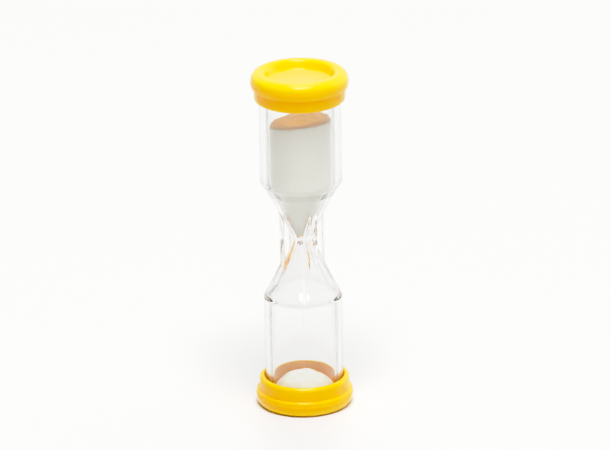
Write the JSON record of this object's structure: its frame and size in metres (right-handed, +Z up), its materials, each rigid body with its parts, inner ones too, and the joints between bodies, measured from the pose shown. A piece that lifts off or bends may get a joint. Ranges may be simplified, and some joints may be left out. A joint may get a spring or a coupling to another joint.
{
  "type": "sand timer",
  "caption": "Small free-standing sand timer: a clear plastic double-cone body with a finned waist, a round yellow cap on each end, and white sand running through the neck.",
  "frame": {"origin": "centre of the face that the timer stands on, on its axis", "axes": "+Z up along the timer's axis, through the neck; +X and +Y run through the middles of two neighbouring fins"},
  "size_m": [0.0252, 0.0252, 0.09],
  "materials": {
    "cap_plastic": "gloss",
    "clear_plastic": "gloss",
    "sand": "matte"
  },
  "bodies": {
    "root": {"top_cap": "cap_plastic", "bottom_cap": "cap_plastic", "clear_body": "clear_plastic", "upper_sand": "sand", "sand_stream": "sand", "lower_sand": "sand"}
  },
  "joints": []
}
